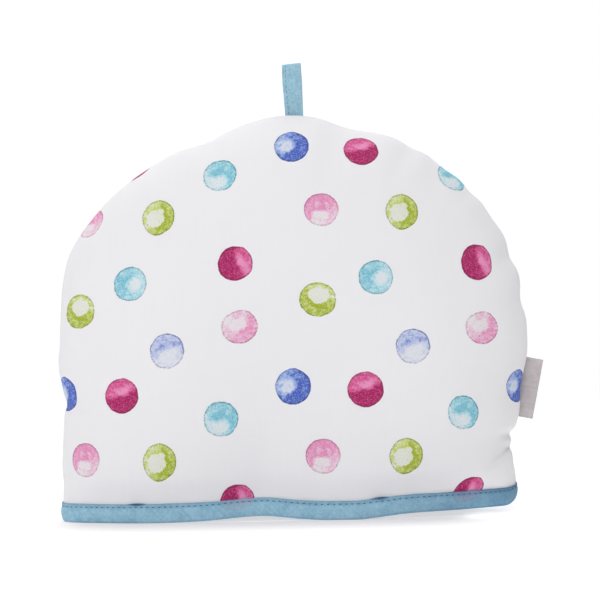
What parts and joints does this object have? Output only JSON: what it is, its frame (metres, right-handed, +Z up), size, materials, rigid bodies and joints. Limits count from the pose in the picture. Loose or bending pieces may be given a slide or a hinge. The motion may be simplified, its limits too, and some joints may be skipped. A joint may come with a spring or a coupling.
{
  "type": "tea cosy",
  "caption": "Half-moon padded tea cosy: white cotton with a watercolour spot print, open at its blue bound hem, with a tape hanging loop at the crown and a blank woven side tab.",
  "frame": {"origin": "middle of the whole cosy's box at the level that the hem rests on", "axes": "+Z up from the hem to the crown and its loop, +X to the right as seen from the front, towards the side tab, -Y out of the front panel"},
  "size_m": [0.3245, 0.0918, 0.3037],
  "materials": {
    "printed_cotton": "matt woven cotton over wadding, printed with watercolour spots",
    "blue_tape": "matt plain-weave cotton bias tape",
    "cream_tape": "soft woven tape, left blank"
  },
  "bodies": {
    "root": {"front_panel": "printed_cotton", "back_panel": "printed_cotton", "hem_binding": "blue_tape", "hanging_loop": "blue_tape", "side_tab": "cream_tape"}
  },
  "joints": []
}
